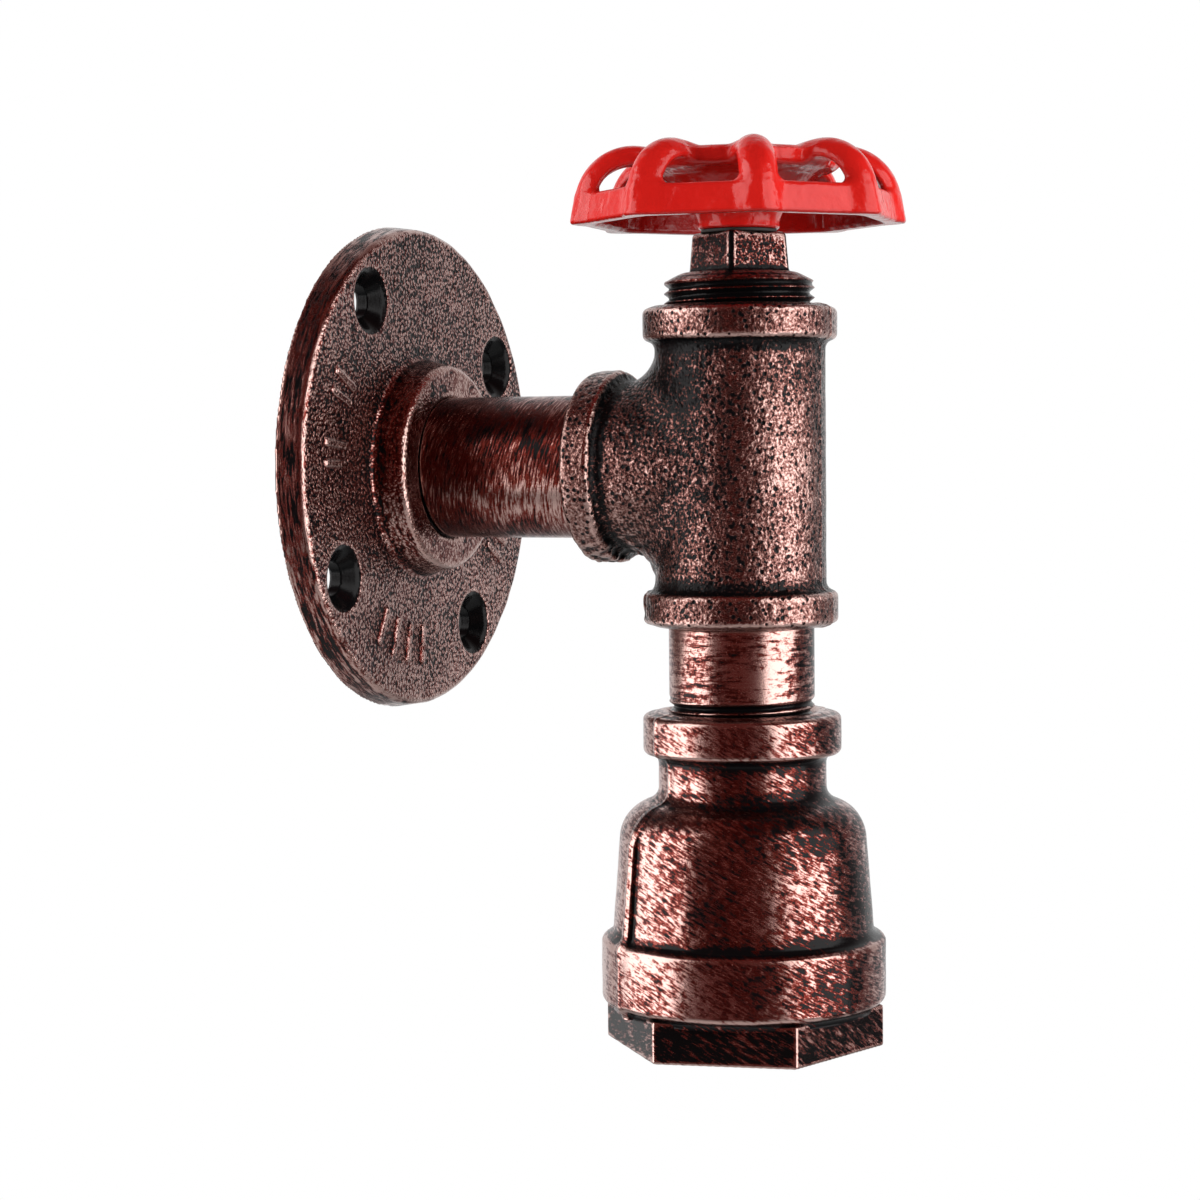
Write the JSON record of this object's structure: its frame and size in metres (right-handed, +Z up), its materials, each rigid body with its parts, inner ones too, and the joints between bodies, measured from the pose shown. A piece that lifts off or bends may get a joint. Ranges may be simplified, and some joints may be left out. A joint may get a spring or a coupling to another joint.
{
  "type": "pipe wall light",
  "caption": "Wall light built from screwed pipe fittings: a round wall flange, a short arm and a tee with a red handwheel switch above and a downward lampholder below.",
  "frame": {"origin": "centre of the wall flange's back face, on the arm's axis", "axes": "+Y into the wall along the arm, +Z up along the lamp's axis, +X to the right as seen from the room"},
  "size_m": [0.0924, 0.1006, 0.1643],
  "materials": {
    "rubbed_copper_casting": "sand cast, black with rubbed copper highlights",
    "rubbed_copper_pipe": "smooth pipe, black with brushed copper streaks",
    "red_enamel": "thick glossy enamel",
    "zinc_plated_steel": "bright zinc plate",
    "contact_brass": "plain sheet and turned brass",
    "nickelled_shell": "nickel plated, rolled thread",
    "white_porcelain": "glazed porcelain",
    "black_moulding": "moulded, fine texture",
    "white_moulding": "moulded nylon",
    "black_fibre": "pressed fibre",
    "black_insulation": "extruded lead insulation",
    "red_insulation": "extruded lead insulation",
    "white_insulation": "extruded lead insulation",
    "tinned_copper": "stranded copper, tinned"
  },
  "bodies": {
    "base": {"wall_flange": "rubbed_copper_casting", "arm_nipple": "rubbed_copper_pipe", "tee": "rubbed_copper_casting", "drop_nipple": "rubbed_copper_pipe", "reducer": "rubbed_copper_casting", "hex_bushing": "rubbed_copper_casting", "bonnet": "rubbed_copper_casting", "thrust_washer": "black_fibre", "switch_bush": "contact_brass", "switch_nut": "zinc_plated_steel", "switch_washer": "zinc_plated_steel", "switch_housing": "black_moulding", "switch_base": "black_moulding", "fixed_contacts": "contact_brass", "lampholder_body": "white_porcelain", "screw_shell": "nickelled_shell", "centre_contact": "contact_brass", "contact_rivets": "contact_brass", "lamp_terminals": "contact_brass", "terminal_screws": "zinc_plated_steel", "live_lead": "black_insulation", "switched_lead": "red_insulation", "neutral_lead": "white_insulation", "tinned_ends": "tinned_copper"},
    "wheel": {"handwheel": "red_enamel", "wheel_screw": "zinc_plated_steel", "wheel_washer": "zinc_plated_steel", "switch_spindle": "zinc_plated_steel", "switch_rotor": "white_moulding", "moving_contact": "contact_brass"}
  },
  "joints": [
    {"name": "wheel_turn", "type": "hinge", "parent": "base", "child": "wheel", "pos_m": [0, -0.071, 0.05], "axis": [0, 0, -1], "range_deg": [0, 90]}
  ]
}
